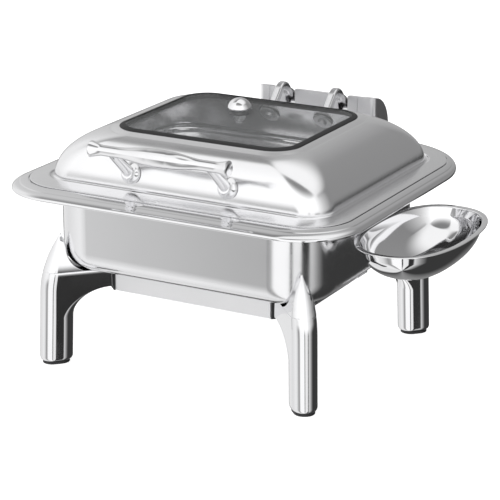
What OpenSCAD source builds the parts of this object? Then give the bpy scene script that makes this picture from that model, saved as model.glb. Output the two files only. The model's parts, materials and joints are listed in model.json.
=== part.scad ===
// Roll top chafer: water pan on a four-legged frame, food pan, glazed hinged lid and a spoon bowl.
// Millimetres. +Z is up, -Y is the handle side, the origin is on the floor midway between the feet.

/* [Pan and frame] */
// Overall width of the water pan rim along X
rim_w = 440; // [400:5:480]
// Distance from the centre to the front edge of the rim
rim_front = 194; // [180:1:200]
// Distance from the centre to the rear edge of the rim, which carries the hinge
rim_rear = 232; // [226:1:236]
// Radius of the front rim corners
rim_r = 74; // [60:1:90]
// Radius of the rear rim corners
rim_rr = 130; // [110:1:136]
// Height of the rolled rim above the floor
rim_z = 210; // [200:1:220]
// Height of the underside of the pan, where it rests on the frame
seat_z = 112.7; // [105:0.1:118]
// Half width of the pan body along X
body_hx = 174; // [170:1:176]
// Half depth of the pan body along Y
body_hy = 148; // [144:1:150]
// Sheet thickness of the pans and the lid
sheet = 1.6; // [1.2:0.1:2]

/* [Lid] */
// Height of the lid dome above its base at the window edge
dome_h = 53.5; // [45:0.5:60]
// Half width of the window gasket along X
win_hx = 118.4; // [100:0.2:122]
// Half depth of the window gasket along Y
win_hy = 104; // [90:0.5:106]
// Rise of the glass between its edge and its centre
glass_rise = 12.4; // [8:0.2:14]
// Thickness of the glass
glass_t = 4; // [3:0.5:5]

/* [Hinge] */
// Pivot distance behind the centre
pivot_y = 218; // [214:0.5:220]
// Pivot height above the floor
pivot_z = 246; // [244:0.5:250]
// Half spacing of the two hinge arms
arm_x = 36.5; // [30:0.5:45]
// Radius of the hinge shaft
shaft_r = 7; // [5:0.5:8]

/* [Handle] */
// Length of the handle bar
grip_len = 174; // [160:2:200]
// Radius of the middle of the handle bar
grip_r = 10.4; // [9:0.2:12]
// Half spacing of the handle posts
post_x = 62; // [50:1:70]

/* [Spoon bowl] */
// Height of the bowl rim
bowl_z = 186; // [180:1:190]
// Depth of the bowl below its rim
bowl_deep = 48; // [40:1:50]
// Bowl centre along X
bowl_x = 243; // [242:1:250]
// Bowl centre along Y
bowl_y = -18; // [-20:1:0]

/* [Hidden] */
$fn = 48;
hw = rim_w / 2;
seg = 8;
steel = [0.80, 0.80, 0.81];
dark = [0.08, 0.08, 0.09];
leg_c = [162.8, 146.8];
leg_w = 14.8;
ring_x = 126;
ring_y = 110;
ring_z0 = 86.3;
ring_z1 = seat_z;
ring_cut = 24;
corner_mid = [ring_x - ring_cut / 2, ring_y - ring_cut / 2];
arm_len = (leg_c[0] - corner_mid[0]) * sqrt(2);
foot_t = 3;
flange_z = rim_z + 7.2;
lid_rear = 194;
wy = 3.5;
dome_a = 72;
win_z = flange_z + 2.8 + dome_h;
glass_z = 290;
post_y = -135.6;
post_z = 239.5;
post_a = 74.3;
grip_y = -178;
grip_z = 275;
cap_r = 40;
rim_screw_x = 48;
rim_screw_y = 208.5;
arm_y = 147.6;
arm_a = -52;
cap_c = [200, 228];
bowl_hx = 61;
bowl_hy = 106;

mid = [(bowl_x + bowl_hx - hw) / 2, (cap_c[0] + cap_r + 0.6 - rim_front) / 2, 0];

// rounded rectangle ring at one height: half width hx, y0 to y1, front radius q, rear radius r
function rr(hx, y0, y1, q, r, z) = [for (c = [0:3])
    for (k = [0:seg])
        let (a = c * 90 + 90 * k / seg, e = c < 2 ? r : q, cx = (c == 0 || c == 3) ? hx - e : e - hx,
            cy = c < 2 ? y1 - e : y0 + e)
            [cx + e * cos(a), cy + e * sin(a), z]];

// ring of the rim band: s runs from 0 at the outer edge to 1 at the lid edge
function rim_ring(s, z) = rr(hw - 16 * s, 24.8 * s - rim_front, rim_rear - (rim_rear - lid_rear - 0.6) * s,
    rim_r - 19 * s, rim_rr - 60 * s, z);

// ring of the pan body, o outside the wall
function body_ring(o, r, z) = rr(body_hx + o, -body_hy - o, body_hy + o, r, r, z);

// ring of the lid flange: t runs from 0 at its edge to 1 at the foot of the dome
function lid_ring(t, z) = rr(hw - 16.5 - 25 * t, 25.6 - rim_front + 30.4 * t, lid_rear - 32 * t,
    55 - 23 * t,
    70 - 32 * t, z);

// ring of the lid dome at angle a, off the outer skin by o
function dome_ring(a, o) = let (f = (1 - cos(a)) / (1 - cos(dome_a)), h = sin(a) / sin(dome_a),
    nx = cos(a) * o,
    x = hw - 41.5, rx = x - win_hx - 8, ry = lid_rear - 32 - win_hy - wy - 8)
    rr(x - rx * f - nx, 56 - rim_front + 29.5 * f + nx, lid_rear - 32 - ry * (0.75 * f + 0.25 * h) - nx,
        32 + 12 * f - nx, 38 + 6 * f - nx, flange_z + 2.8 + dome_h * h - sin(a) * o);

// ring near the window, d inwards from the outer edge of the gasket
function win_ring(d, z) = rr(win_hx - d, wy - win_hy + d, wy + win_hy - d, 36 - 0.9 * d, 36 - 0.9 * d, z);

// ring of the glass at scale s
function glass_ring(s, t) = rr((win_hx - 7.65) * s, wy - (win_hy - 7.65) * s, wy + (win_hy - 7.65) * s,
    29.3 * s, 29.3 * s, glass_z - glass_rise * pow(s, 2.2) - t);

// oval ring for the spoon bowl: half width hx, half length hy
function oval(hx, hy, z) = [for (k = [0:47])
    let (a = 7.5 * k, c = cos(a), s = sin(a))
        [hx * sign(c) * pow(abs(c), 0.85), hy * sign(s) * pow(abs(s), 0.85), z]];

// skin between equal rings: closed round the section, or capped at both ends
module loft(rings, closed = false) {
    n = len(rings[0]);
    m = len(rings);
    pts = [for (q = rings) for (p = q) p];
    sides = [for (i = [0:(closed ? m - 1 : m - 2)])
        for (j = [0:n - 1])
            let (k = (j + 1) % n, i2 = (i + 1) % m)
                for (t = [0:1]) t == 0 ? [i * n + j, i2 * n + j, i * n + k]
                    : [i * n + k, i2 * n + j, i2 * n + k]];
    caps = closed ? [] : [[for (j = [0:n - 1]) j], [for (j = [n - 1:-1:0]) (m - 1) * n + j]];
    polyhedron(points = pts, faces = concat(sides, caps), convexity = 8);
}

// move to the frame whose origin is under the middle of the object
module centred() {
    translate(-mid) children();
}

// mirror into the left, or rear, half
module side(s) {
    mirror([s < 0 ? 1 : 0, 0, 0]) children();
}

// frame at one corner: local x runs inwards along the leg arm
module at_leg(sx, sy) {
    mirror([sx < 0 ? 1 : 0, 0, 0])
        mirror([0, sy < 0 ? 1 : 0, 0])
            translate([leg_c[0], leg_c[1], 0])
                rotate([0, 0, 225])
                    children();
}

// ---- frame ----

// saddle of the leg, just clear of the pan's rounded corner, measured along the arm
function saddle_u(z) = z > seat_z + 26 ? 14.4 : 41.3 - sqrt(max(0, 723.6 - pow(seat_z + 26 - z, 2)));

// plan section of a leg between u0 and u1, half thickness hv, end radii a and b along u
function leg_ring(u0, u1, hv, a, b, bv, z) = [for (c = [0:3])
    for (k = [0:5])
        let (t = c * 90 + 18 * k, far = c == 0 || c == 3, e = far ? b : a, ev = far ? bv : hv)
            [(far ? u1 - e : u0 + e) + e * cos(t), (c < 2 ? hv - ev : ev - hv) + ev * sin(t), z]];

function leg_out(z) = z < 88 ? 0.037 * z - 19.5 : 24.2 * pow((z - 88) / 67.6, 1.75) - 16.2;
function leg_hv(z) = z < 95 ? leg_w : max(1.4, leg_w * (1 - pow((z - 95) / 60.8, 2.5)));
function leg_in(z) = z < 58 ? 19.5 + 0.037 * z : 66.6 - 45 * sqrt(max(0, 1 - pow((z - 58) / 33, 2)));

module leg(sx, sy) {
    low = [[3, 4], [4.6, 1.2], [8, 0], [34, 0], [58, 0]];
    up = [64, 70, 76, 81, 85, 88, 89.8];
    top = [112.35, 113.4, 115, 117, 120, 124, 129, 134, 139, 144, 149, 153, 155.6];
    color(steel)
        at_leg(sx, sy)
            difference() {
                loft(concat(
                    [for (q = low) leg_ring(leg_out(q[0]) + q[1], leg_in(q[0]) - q[1], leg_w - q[1],
                        16 - q[1], 16 - q[1],
                        leg_w - q[1], q[0])],
                    [for (z = up) leg_ring(leg_out(z), leg_in(z), leg_w, 16, 16 - (z - 58) * 0.4,
                        leg_w - (z - 58) * 0.36, z)],
                    [leg_ring(leg_out(91), arm_len - 2, leg_w, 16, 2, 2, 91),
                        leg_ring(leg_out(110.4), arm_len - 2, leg_hv(110.4), leg_hv(110.4), 2, 2, 110.4),
                        leg_ring(leg_out(111.8), arm_len - 2, leg_hv(111.8) - 1, leg_hv(111.8) - 1,
                            2, 2, 112)],
                    [for (z = top) leg_ring(leg_out(z),
                        z < 139 ? saddle_u(z) : 14.4 - 4.4 * pow((z - 139) / 16.6, 1.5), leg_hv(z),
                        min(leg_hv(z), (saddle_u(z) - leg_out(z)) / 2.4), min(4, leg_hv(z)) * 0.45,
                        min(4, leg_hv(z)) * 0.9, z)]));
                for (v = [-8, 8])
                    translate([arm_len - 30, v, 99.5])
                        rotate([0, 90, 0])
                            cylinder(r = 3, h = 30);
            }
}

module leg_front_left() {
    leg(-1, -1);
}

module leg_front_right() {
    leg(1, -1);
}

module leg_rear_left() {
    leg(-1, 1);
}

module leg_rear_right() {
    leg(1, 1);
}

// thin oval pads under the legs
module foot_pads() {
    color(dark)
        for (sx = [-1, 1])
            for (sy = [-1, 1])
                at_leg(sx, sy)
                    linear_extrude(height = foot_t)
                        union() {
                            square([8, 24], center = true);
                            for (u = [-4, 4])
                                translate([u, 0])
                                    circle(r = 12);
                        }
}

// angle section rail: web on the outside, lip along the top
module rail(len, t = 2.5, lip = 14) {
    translate([-len / 2, 0, ring_z0])
        union() {
            translate([0, -t, 0])
                cube([len, t, ring_z1 - ring_z0]);
            translate([0, -lip, ring_z1 - ring_z0 - t])
                cube([len, lip, t]);
        }
}

module front_bar() {
    color(steel)
        mirror([0, 1, 0])
            translate([0, ring_y, 0])
                rail(2 * (ring_x - ring_cut) - 1);
}

module rear_bar() {
    color(steel)
        translate([0, ring_y, 0])
            rail(2 * (ring_x - ring_cut) - 1);
}

module left_bar() {
    color(steel)
        mirror([1, 0, 0])
            translate([ring_x, 0, 0])
                rotate([0, 0, -90])
                    rail(2 * (ring_y - ring_cut) - 1);
}

module right_bar() {
    color(steel)
        difference() {
            translate([ring_x, 0, 0])
                rotate([0, 0, -90])
                    rail(2 * (ring_y - ring_cut) - 1);
            for (y = [64, 76])
                translate([ring_x - 10, y, 98])
                    rotate([0, 90, 0])
                        cylinder(r = 2.6, h = 20);
        }
}

// bent corner plates that join the rails inside and carry the leg bolts
module corner_plates() {
    w = 30.2;
    color(steel)
        for (sx = [-1, 1])
            for (sy = [-1, 1])
                at_leg(sx, sy)
                    difference() {
                        translate([arm_len, -w / 2, ring_z0])
                            cube([2.5, w, ring_z1 - ring_z0 - 0.2]);
                        for (v = [-8, 8])
                            translate([arm_len - 5, v, 99.5])
                                rotate([0, 90, 0])
                                    cylinder(r = 3, h = 20);
                    }
}

// thin black plates between the frame corners and the leg arms
module leg_spacers() {
    color(dark)
        for (sx = [-1, 1])
            for (sy = [-1, 1])
                at_leg(sx, sy)
                    difference() {
                        translate([arm_len - 2, -16.5, ring_z0])
                            cube([2, 33, ring_z1 - ring_z0 - 0.4]);
                        for (v = [-8, 8])
                            translate([arm_len - 5, v, 99.5])
                                rotate([0, 90, 0])
                                    cylinder(r = 3, h = 20);
                    }
}

// hexagon bolts from inside the frame into the leg arms
module leg_bolts() {
    color(steel)
        for (sx = [-1, 1])
            for (sy = [-1, 1])
                at_leg(sx, sy)
                    for (v = [-8, 8])
                        translate([arm_len - 22, v, 99.5])
                            rotate([0, 90, 0])
                                union() {
                                    cylinder(r = 3, h = 24.6);
                                    translate([0, 0, 24.5])
                                        cylinder(r = 5.2, h = 4);
                                }
}

// ---- pans ----

module water_pan() {
    top = seat_z;
    h = rim_z;
    color(steel)
        difference() {
            loft(concat(
                [for (a = [0, 18, 36, 54, 72, 90])
                    body_ring(26 * sin(a) - 26, 32 + 26 * sin(a), top + 26 - 26 * cos(a))],
                [body_ring(0, 58, h - 4), body_ring(1.5, 58, h - 0.4), body_ring(4.4, 58, h + 0.4),
                    body_ring(6, 58, h + 5), rim_ring(1.02, h + 5.1), rim_ring(0.5, h + 4.2),
                    rim_ring(0.2, h + 2.4), rim_ring(0.1, h - 0.4), rim_ring(0.015, h - 0.8),
                        rim_ring(0, h + 0.8),
                    rim_ring(0.05, h + 2.6), rim_ring(0.2, h + 4.6), rim_ring(0.46, h + 6),
                        rim_ring(0.5, h + 6.5),
                    rim_ring(0.73, h + 7.5), rim_ring(0.945, h + 8.2), rim_ring(0.985, h + 7.9),
                        rim_ring(1, h + 6.8),
                    body_ring(8.4, 60, h + 6.8), body_ring(6.8, 59, h + 5.9), body_ring(5.8, 58, h + 2.2),
                    body_ring(-0.4, 57, h + 2.2), body_ring(-1.6, 56.4, h + 0.8)],
                [for (a = [90, 72, 54, 36, 18, 0])
                    body_ring(24.4 * sin(a) - 26, 32 + 24.4 * sin(a), top + 26 - 24.4 * cos(a))]));
            for (x = [-rim_screw_x, rim_screw_x])
                translate([x, rim_screw_y, h - 10])
                    cylinder(r = 2.5, h = 30);
        }
}

// shallow removable pan that sits on the ledge inside the water pan
module food_pan() {
    z0 = rim_z - 62;
    zr = rim_z + 2.25;
    color(steel)
        loft(concat(
            [for (a = [0, 22.5, 45, 67.5]) body_ring(20 * sin(a) - 34, 28 + 20 * sin(a),
                z0 + 20 - 20 * cos(a))],
            [body_ring(-13, 49, z0 + 24), body_ring(-6, 54, rim_z - 3), body_ring(-4, 56, zr),
                body_ring(4.9, 58, zr), body_ring(5.2, 58, zr + 0.6), body_ring(4.8, 58, zr + 1.3),
                body_ring(-5, 55, zr + 1.3), body_ring(-7.4, 53, rim_z - 2.6), body_ring(-14.4, 48,
                    z0 + 24)],
            [for (a = [67.5, 45, 22.5, 0])
                body_ring(18.6 * sin(a) - 34, 28 + 18.6 * sin(a), z0 + 20 - 18.6 * cos(a))]));
}

// ---- lid ----

module lid_shell() {
    f = flange_z;
    color(steel)
        difference() {
            loft(concat(
                [lid_ring(0, f + 1.3), lid_ring(0.03, f + 1.9), lid_ring(0.28, f + 2.6),
                    lid_ring(0.54, f + 3.2),
                    lid_ring(0.76, f + 3.7), lid_ring(0.81, f + 3.2), lid_ring(0.86, f + 2.1),
                        lid_ring(0.94, f + 1.8)],
                [for (a = [0, 9, 18, 27, 36, 45, 54, 63, 72]) dome_ring(a, 0)],
                [win_ring(-7, win_z + 0.1), win_ring(0, win_z + 2), win_ring(5, win_z + 2.9),
                    win_ring(5, win_z + 1.4),
                    win_ring(0, win_z + 0.4), win_ring(-7, win_z - 1.4)],
                [for (a = [72, 63, 54, 45, 36, 27, 18, 9, 0]) dome_ring(a, sheet)],
                [lid_ring(0.96, f + 0.3), lid_ring(0.84, f + 0.5), lid_ring(0.78, f + 1.7),
                    lid_ring(0.54, f + 1.6),
                    lid_ring(0.28, f + 1), lid_ring(0.05, f + 0.05), lid_ring(0.005, f + 0.1)]), true);
            for (x = [-post_x, post_x])
                translate([x, post_y, post_z])
                    rotate([post_a, 0, 0])
                        translate([0, 0, -8])
                            cylinder(r = 3.1, h = 16);
            for (x = [-arm_x, arm_x])
                translate([x, arm_y, 250])
                    rotate([arm_a, 0, 0])
                        translate([0, 0, -8])
                            cylinder(r = 3.1, h = 20);
        }
}

// black rubber channel between the lid and the glass
module window_gasket() {
    z = win_z + 2;
    color(dark)
        loft([win_ring(0, z + 0.05), win_ring(0.5, z + 1.3), win_ring(3, z + 2.5), win_ring(7.2, z + 3.5),
            win_ring(9.2, z + 3.3), win_ring(9.2, z + 2.6), win_ring(7.65, z + 2.1), win_ring(7.65,
                z - 2.1),
            win_ring(9, z - 2.2), win_ring(9, z - 3.2), win_ring(2.5, z - 3.2), win_ring(2.5, z - 1.5),
            win_ring(5, z - 0.8), win_ring(5, z + 0.95)], true);
}

module glass_window() {
    color([0.75, 0.78, 0.8, 0.45])
        difference() {
            loft(concat([for (s = [0.2, 0.4, 0.6, 0.8, 1]) glass_ring(s, glass_t)],
                [for (s = [1, 0.8, 0.6, 0.4, 0.2]) glass_ring(s, 0)]));
            translate([0, wy, glass_z - 20])
                cylinder(r = 4, h = 40);
        }
}

// polished vent knob with a threaded stem
module vent_cap() {
    z = glass_z - glass_rise * pow(0.2, 2.2);
    color(steel)
        translate([0, wy, z])
            union() {
                rotate_extrude()
                    polygon(concat([[0, 0.6], [13, 0.6], [14, 1.4]],
                        [for (a = [10:10:90]) [14 * cos(a), 1.4 + 12.6 * sin(a)]]));
                translate([0, 0, -16])
                    cylinder(r = 4, h = 18);
            }
}

module vent_washer() {
    z = glass_z - glass_rise * pow(0.2, 2.2);
    color(dark)
        for (dz = [0, -glass_t - 0.6])
            translate([0, wy, z + dz])
                difference() {
                    cylinder(r = 12, h = 0.6);
                    translate([0, 0, -1])
                        cylinder(r = 4, h = 3);
                }
}

module vent_nut() {
    z = glass_z - glass_rise * pow(0.2, 2.2) - glass_t - 0.6;
    color(steel)
        translate([0, wy, z - 5])
            difference() {
                union() {
                    cylinder(r = 8, h = 5, $fn = 6);
                    translate([0, 0, -3])
                        cylinder(r = 5.5, h = 3);
                }
                translate([0, 0, -4])
                    cylinder(r = 4, h = 12);
            }
}

// ---- handle ----

// radius of the handle bar at distance x from its middle
function grip(x) = let (h = grip_len / 2)
    x < 12 ? grip_r - 0.4 * pow(x / 12, 2)
        : x < 54 ? grip_r - 0.4 - 3.9 * pow(sin(90 * (x - 12) / 42), 2)
        : x < 72 ? grip_r - 4.3 : grip_r - 4.3 + 3.6 * pow((x - 72) / (h - 72), 1.5);

module handle_bar() {
    h = grip_len / 2;
    xs = [0, 6, 12, 19, 26, 33, 40, 47, 54, 72, 76, 80, 83.5, 86];
    color(steel)
        translate([0, grip_y, grip_z])
            rotate([0, 90, 0])
                union() {
                    for (s = [0, 1])
                        mirror([0, 0, s])
                            rotate_extrude()
                                polygon(concat([[0, 0]], [for (x = xs) [grip(x), x]],
                                    [[grip(h) - 1.4, h + 0.4], [0, h + 1.4]]));
                }
}

module handle_post(s) {
    dy = grip_y - post_y;
    dz = grip_z - post_z;
    color(steel)
        side(s)
            difference() {
                union() {
                    translate([post_x, post_y, post_z])
                        rotate([post_a, 0, 0])
                            union() {
                                translate([0, 0, 0.3])
                                    cylinder(r1 = 12.5, r2 = 10.5, h = 3.7);
                                translate([0, 0, 4])
                                    cylinder(r1 = 9, r2 = 6.5, h = 5);
                            }
                    translate([post_x, post_y - 4.5, post_z + 2])
                        rotate([atan2(-dy - 4.5, dz - 2), 0, 0])
                            cylinder(r1 = 7, r2 = 5.3, h = sqrt(pow(dy + 4.5, 2) + pow(dz - 2, 2)));
                }
                translate([post_x - 30, grip_y, grip_z])
                    rotate([0, 90, 0])
                        cylinder(r = grip(post_x), h = 60);
                translate([post_x, post_y, post_z])
                    rotate([post_a, 0, 0])
                        translate([0, 0, -1])
                            cylinder(r = 3, h = 9);
                translate([post_x, post_y, post_z])
                    rotate([post_a, 0, 0])
                        translate([0, 0, -20.0])
                            cylinder(r = 30, h = 20.3);
            }
}

module handle_post_left() {
    handle_post(-1);
}

module handle_post_right() {
    handle_post(1);
}

// screws through the lid wall into the posts
module handle_screws() {
    color(steel)
        for (x = [-post_x, post_x])
            translate([x, post_y, post_z])
                rotate([post_a, 0, 0])
                    union() {
                        translate([0, 0, -4.4])
                            cylinder(r = 3, h = 11.8);
                        translate([0, 0, -7.4])
                            cylinder(r1 = 4, r2 = 5.5, h = 3);
                    }
}

module handle_washers() {
    color(steel)
        for (x = [-post_x, post_x])
            translate([x, post_y, post_z])
                rotate([post_a, 0, 0])
                    translate([0, 0, -4.4])
                        difference() {
                            cylinder(r = 11, h = 1.2);
                            translate([0, 0, -1])
                                cylinder(r = 3, h = 4);
                        }
}

// ---- hinge ----

// saddle plate screwed to the rear rim, carrying the hinge housing
module hinge_bracket() {
    h = rim_z;
    color(steel)
        difference() {
            translate([-80, 0, 0])
                rotate([90, 0, 90])
                    linear_extrude(height = 160)
                        polygon([[198, h + 8.1], [204.8, h + 7.52], [213.4, h + 6.52], [214.9, h + 6.02],
                            [224.6, h + 4.62],
                            [230.2, h + 2.62], [232.05, h + 0.8], [232.8, h + 0.8], [233, h + 8],
                                [240.6, h + 8],
                            [240.6, h + 11.8], [199, h + 11.8], [198, h + 10.8]]);
            for (x = [-rim_screw_x, rim_screw_x])
                translate([x, rim_screw_y, h])
                    cylinder(r = 2.5, h = 30);
            for (x = [-73, -61, 61, 73])
                translate([x, 236.6, h])
                    cylinder(r = 1.6, h = 30);
        }
}

module bracket_screws() {
    h = rim_z;
    color(steel)
        union() {
            for (x = [-rim_screw_x, rim_screw_x])
                translate([x, rim_screw_y, h - 1.5])
                    union() {
                        cylinder(r = 2.5, h = 13.4);
                        translate([0, 0, 13.3])
                            cylinder(r1 = 5, r2 = 3.6, h = 2.6);
                    }
            for (x = [-73, -61, 61, 73])
                translate([x, 236.6, h + 5.8])
                    union() {
                        cylinder(r = 3, h = 2.2);
                        cylinder(r = 1.6, h = 12);
                    }
        }
}

// section of the housing in the y-z plane
module house_profile(r, front) {
    intersection() {
        union() {
            translate(cap_c)
                circle(r = r, $fn = 96);
            translate([front, rim_z + 11.8])
                square([cap_c[0] - front + r, cap_c[1] - rim_z - 11.8]);
        }
        translate([front, rim_z + 11.8])
            square([80, 80]);
    }
}

// quarter round cover between the end blocks, closed in front and slotted for the arms
module hinge_cover() {
    color(steel)
        difference() {
            translate([-55.8, 0, 0])
                rotate([90, 0, 90])
                    linear_extrude(height = 111.6)
                        difference() {
                            house_profile(cap_r, 200);
                            translate([-1, -1])
                                house_profile(cap_r - 2, 203);
                        }
            for (x = [-arm_x, arm_x])
                translate([x - 6.5, 190, pivot_z - 3])
                    cube([13, 60, 60]);
        }
}

module hinge_block(s) {
    color(steel)
        side(s)
            difference() {
                translate([56, 0, 0])
                    rotate([90, 0, 90])
                        linear_extrude(height = 10)
                            house_profile(cap_r, 201);
                translate([50, pivot_y, pivot_z])
                    rotate([0, 90, 0])
                        cylinder(r = 10, h = 30);
                translate([61, 236.6, rim_z])
                    cylinder(r = 1.6, h = 18);
            }
}

module hinge_block_left() {
    hinge_block(-1);
}

module hinge_block_right() {
    hinge_block(1);
}

module hinge_end_cap(s) {
    color([0.74, 0.74, 0.76])
        side(s)
            difference() {
                intersection() {
                    translate([66, 0, 0])
                        rotate([90, 0, 90])
                            linear_extrude(height = 14)
                                house_profile(cap_r + 0.6, 200);
                    linear_extrude(height = 300)
                        union() {
                            translate([60, 206])
                                square([20, 40]);
                            translate([60, 200])
                                square([14, 10]);
                            translate([74, 206])
                                circle(r = 6);
                        }
                }
                translate([50, pivot_y, pivot_z])
                    rotate([0, 90, 0])
                        cylinder(r = 10, h = 26.5);
                translate([73, 236.6, rim_z])
                    cylinder(r = 1.6, h = 18);
            }
}

module hinge_end_cap_left() {
    hinge_end_cap(-1);
}

module hinge_end_cap_right() {
    hinge_end_cap(1);
}

// plain bushes held by the blocks, running on the shaft
module hinge_bushes() {
    color([0.75, 0.6, 0.3])
        for (s = [-1, 1])
            side(s)
                translate([55.5, pivot_y, pivot_z])
                    rotate([0, 90, 0])
                        difference() {
                            cylinder(r = 10, h = 20);
                            translate([0, 0, -1])
                                cylinder(r = shaft_r + 0.05, h = 22);
                        }
}

module hinge_shaft() {
    color(steel)
        translate([-75, pivot_y, pivot_z])
            rotate([0, 90, 0])
                cylinder(r = shaft_r, h = 150);
}

// point on the centre line of a hinge arm, t from 0 at the lid to 1 at the shaft
function arm_pt(t) = let (a = [arm_y + 1, 250.5], b = [168, 270], c = [181, 286], d = [193, 266],
    e = [pivot_y - 5, pivot_z + 6])
    t < 0.35 ? let (u = t / 0.35) a * (1 - u) + b * u
        : t < 0.7 ? let (u = (t - 0.35) / 0.35, v = 1 - u) b * v * v + c * 2 * u * v + d * u * u
        : let (u = (t - 0.7) / 0.3) d * (1 - u) + e * u;

module hinge_arm(s) {
    n = 20;
    h = 4.4;
    pts = [for (i = [0:n]) arm_pt(i / n)];
    dirs = [for (i = [0:n]) let (d = pts[min(n, i + 1)] - pts[max(0, i - 1)]) d / norm(d)];
    color([0.6, 0.6, 0.62])
        side(s)
            difference() {
                union() {
                    translate([arm_x - 5, 0, 0])
                        rotate([90, 0, 90])
                            linear_extrude(height = 10)
                                polygon(concat([for (i = [0:n]) pts[i] + h * [-dirs[i][1], dirs[i][0]]],
                                    [for (i = [n:-1:0]) pts[i] - h * [-dirs[i][1], dirs[i][0]]]));
                    translate([arm_x - 5, pivot_y, pivot_z])
                        rotate([0, 90, 0])
                            cylinder(r = 10.5, h = 10);
                    translate([arm_x, arm_y, 250])
                        rotate([arm_a, 0, 0])
                            translate([0, 0, 0.8])
                                cylinder(r = 9, h = 4);
                }
                translate([0, pivot_y, pivot_z])
                    rotate([0, 90, 0])
                        cylinder(r = shaft_r, h = 60);
                translate([arm_x, arm_y, 250])
                    rotate([arm_a, 0, 0])
                        translate([0, 0, -9.2])
                            cylinder(r = 20, h = 10);
                translate([arm_x, arm_y, 250])
                    rotate([arm_a, 0, 0])
                        cylinder(r = 3, h = 9);
            }
}

module hinge_arm_left() {
    hinge_arm(-1);
}

module hinge_arm_right() {
    hinge_arm(1);
}

// screws and washers inside the lid that hold the arms
module arm_screws() {
    color(steel)
        for (x = [-arm_x, arm_x])
            translate([x, arm_y, 250])
                rotate([arm_a, 0, 0])
                    union() {
                        translate([0, 0, -4.8])
                            cylinder(r = 3, h = 13);
                        translate([0, 0, -8])
                            cylinder(r1 = 4.4, r2 = 6, h = 3.2);
                    }
}

module arm_washers() {
    color([0.6, 0.6, 0.62])
        for (x = [-arm_x, arm_x])
            translate([x, arm_y, 250])
                rotate([arm_a, 0, 0])
                    translate([0, 0, -4.8])
                        difference() {
                            cylinder(r1 = 11, r2 = 12.5, h = 1.4);
                            translate([0, 0, -1])
                                cylinder(r = 3, h = 4);
                        }
}

// closing springs round the shaft, drawn as stacked coils
module hinge_springs() {
    color([0.5, 0.5, 0.52])
        for (s = [-1, 1])
            side(s)
                for (i = [0:3])
                    translate([44.4 + 2.5 * i, pivot_y, pivot_z])
                        rotate([0, 90, 0])
                            rotate_extrude()
                                translate([shaft_r + 1.3, 0])
                                    circle(r = 1.25, $fn = 24);
}

// ---- spoon bowl ----

module spoon_bowl() {
    color(steel)
        translate([bowl_x, bowl_y, bowl_z])
            loft(concat(
                [for (a = [8, 25, 40, 55, 70]) oval((bowl_hx - 6) * sin(a),
                    (bowl_hy - 6) * pow(sin(a), 0.9),
                    -bowl_deep * cos(a))],
                [oval(bowl_hx - 6, bowl_hy - 6, -1.6), oval(bowl_hx - 0.4, bowl_hy - 0.4, -1.4),
                    oval(bowl_hx, bowl_hy, -0.4), oval(bowl_hx - 0.6, bowl_hy - 0.6, 0.3),
                    oval(bowl_hx - 6, bowl_hy - 6, 0), oval(bowl_hx - 7.4, bowl_hy - 7.6, -1.4)],
                [for (a = [70, 55, 40, 25, 8]) oval((bowl_hx - 7.6) * sin(a),
                    (bowl_hy - 7.6) * pow(sin(a), 0.9),
                    (1.4 - bowl_deep) * cos(a))]));
}

// strap from the right rail up to the bowl
module bowl_bracket() {
    y = 66;
    color([0.6, 0.6, 0.62])
        difference() {
            union() {
                translate([ring_x, y - 8, ring_z0 + 2])
                    cube([3, 24, 23.4]);
                translate([0, y + 8, 0])
                    rotate([90, 0, 0])
                        linear_extrude(height = 16)
                            polygon([[ring_x, ring_z0 + 22], [ring_x + 52, ring_z0 + 22],
                                [bowl_x - 14, bowl_z - 44],
                                [bowl_x - 14, bowl_z - 20], [bowl_x - 17, bowl_z - 20],
                                    [bowl_x - 17, bowl_z - 42],
                                [ring_x + 50, ring_z0 + 25], [ring_x, ring_z0 + 25]]);
            }
            translate([bowl_x, bowl_y, bowl_z])
                loft(concat(
                    [for (a = [8, 25, 40, 55, 70]) oval((bowl_hx - 6) * sin(a),
                        (bowl_hy - 6) * pow(sin(a), 0.9),
                        -bowl_deep * cos(a))], [oval(bowl_hx - 6, bowl_hy - 6, 20)]));
            for (dy = [64, 76])
                translate([ring_x - 10, dy, 98])
                    rotate([0, 90, 0])
                        cylinder(r = 2.6, h = 20);
        }
}

module bowl_screws() {
    color(steel)
        for (y = [64, 76])
            translate([ring_x - 4.5, y, 98])
                rotate([0, 90, 0])
                    union() {
                        cylinder(r = 2.6, h = 8);
                        translate([0, 0, 7.5])
                            cylinder(r1 = 5, r2 = 3.8, h = 2.8);
                    }
}

centred() leg_front_left();
centred() leg_front_right();
centred() leg_rear_left();
centred() leg_rear_right();
centred() foot_pads();
centred() front_bar();
centred() rear_bar();
centred() left_bar();
centred() right_bar();
centred() corner_plates();
centred() leg_spacers();
centred() leg_bolts();
centred() water_pan();
centred() food_pan();
centred() lid_shell();
centred() window_gasket();
centred() glass_window();
centred() vent_cap();
centred() vent_washer();
centred() vent_nut();
centred() handle_bar();
centred() handle_post_left();
centred() handle_post_right();
centred() handle_screws();
centred() handle_washers();
centred() hinge_bracket();
centred() bracket_screws();
centred() hinge_cover();
centred() hinge_block_left();
centred() hinge_block_right();
centred() hinge_end_cap_left();
centred() hinge_end_cap_right();
centred() hinge_bushes();
centred() hinge_shaft();
centred() hinge_arm_left();
centred() hinge_arm_right();
centred() arm_screws();
centred() arm_washers();
centred() hinge_springs();
centred() spoon_bowl();
centred() bowl_bracket();
centred() bowl_screws();
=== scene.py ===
"""Looks of a roll top chafer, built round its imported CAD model.

Sizes in the classes are in millimetres from the middle of the stand: +X runs along the front,
-Y is the handle side, +Z is up. Meshes are made in metres in the CAD model's frame, whose origin
is under the middle of the whole object, MID away.
"""

import json
import logging
import math
from dataclasses import dataclass
from enum import Enum
from typing import Callable, Sequence

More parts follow.
